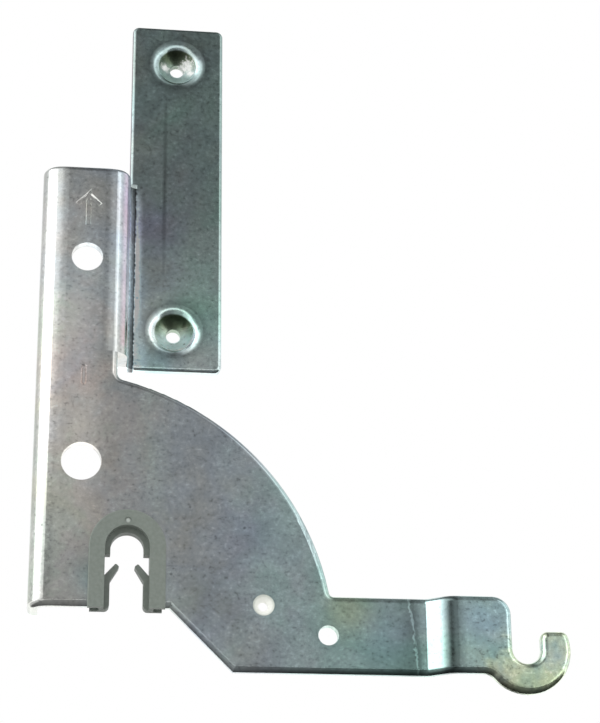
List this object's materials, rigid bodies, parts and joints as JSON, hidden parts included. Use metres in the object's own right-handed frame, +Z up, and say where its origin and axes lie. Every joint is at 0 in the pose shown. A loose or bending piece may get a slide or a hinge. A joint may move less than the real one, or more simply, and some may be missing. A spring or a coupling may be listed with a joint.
{
  "type": "dishwasher door link",
  "caption": "Folded steel door link for a dishwasher: a channel column with a set-back screw tab, a plastic snap bush in its pivot slot, and a joggled arm ending in a spring hook.",
  "frame": {"origin": "on the pivot axis of the bush, at half the thickness of the plate", "axes": "+X along the arm towards the hook, +Y along the pivot axis, from the plate's face to its back, +Z up the column towards the screw tab"},
  "size_m": [0.1296, 0.0217, 0.1841],
  "materials": {
    "zinc_plated_steel": "zinc plated and passivated, satin",
    "grey_plastic": "moulded, matt"
  },
  "bodies": {
    "root": {"link_arm": "zinc_plated_steel", "pivot_bush": "grey_plastic"}
  },
  "joints": []
}
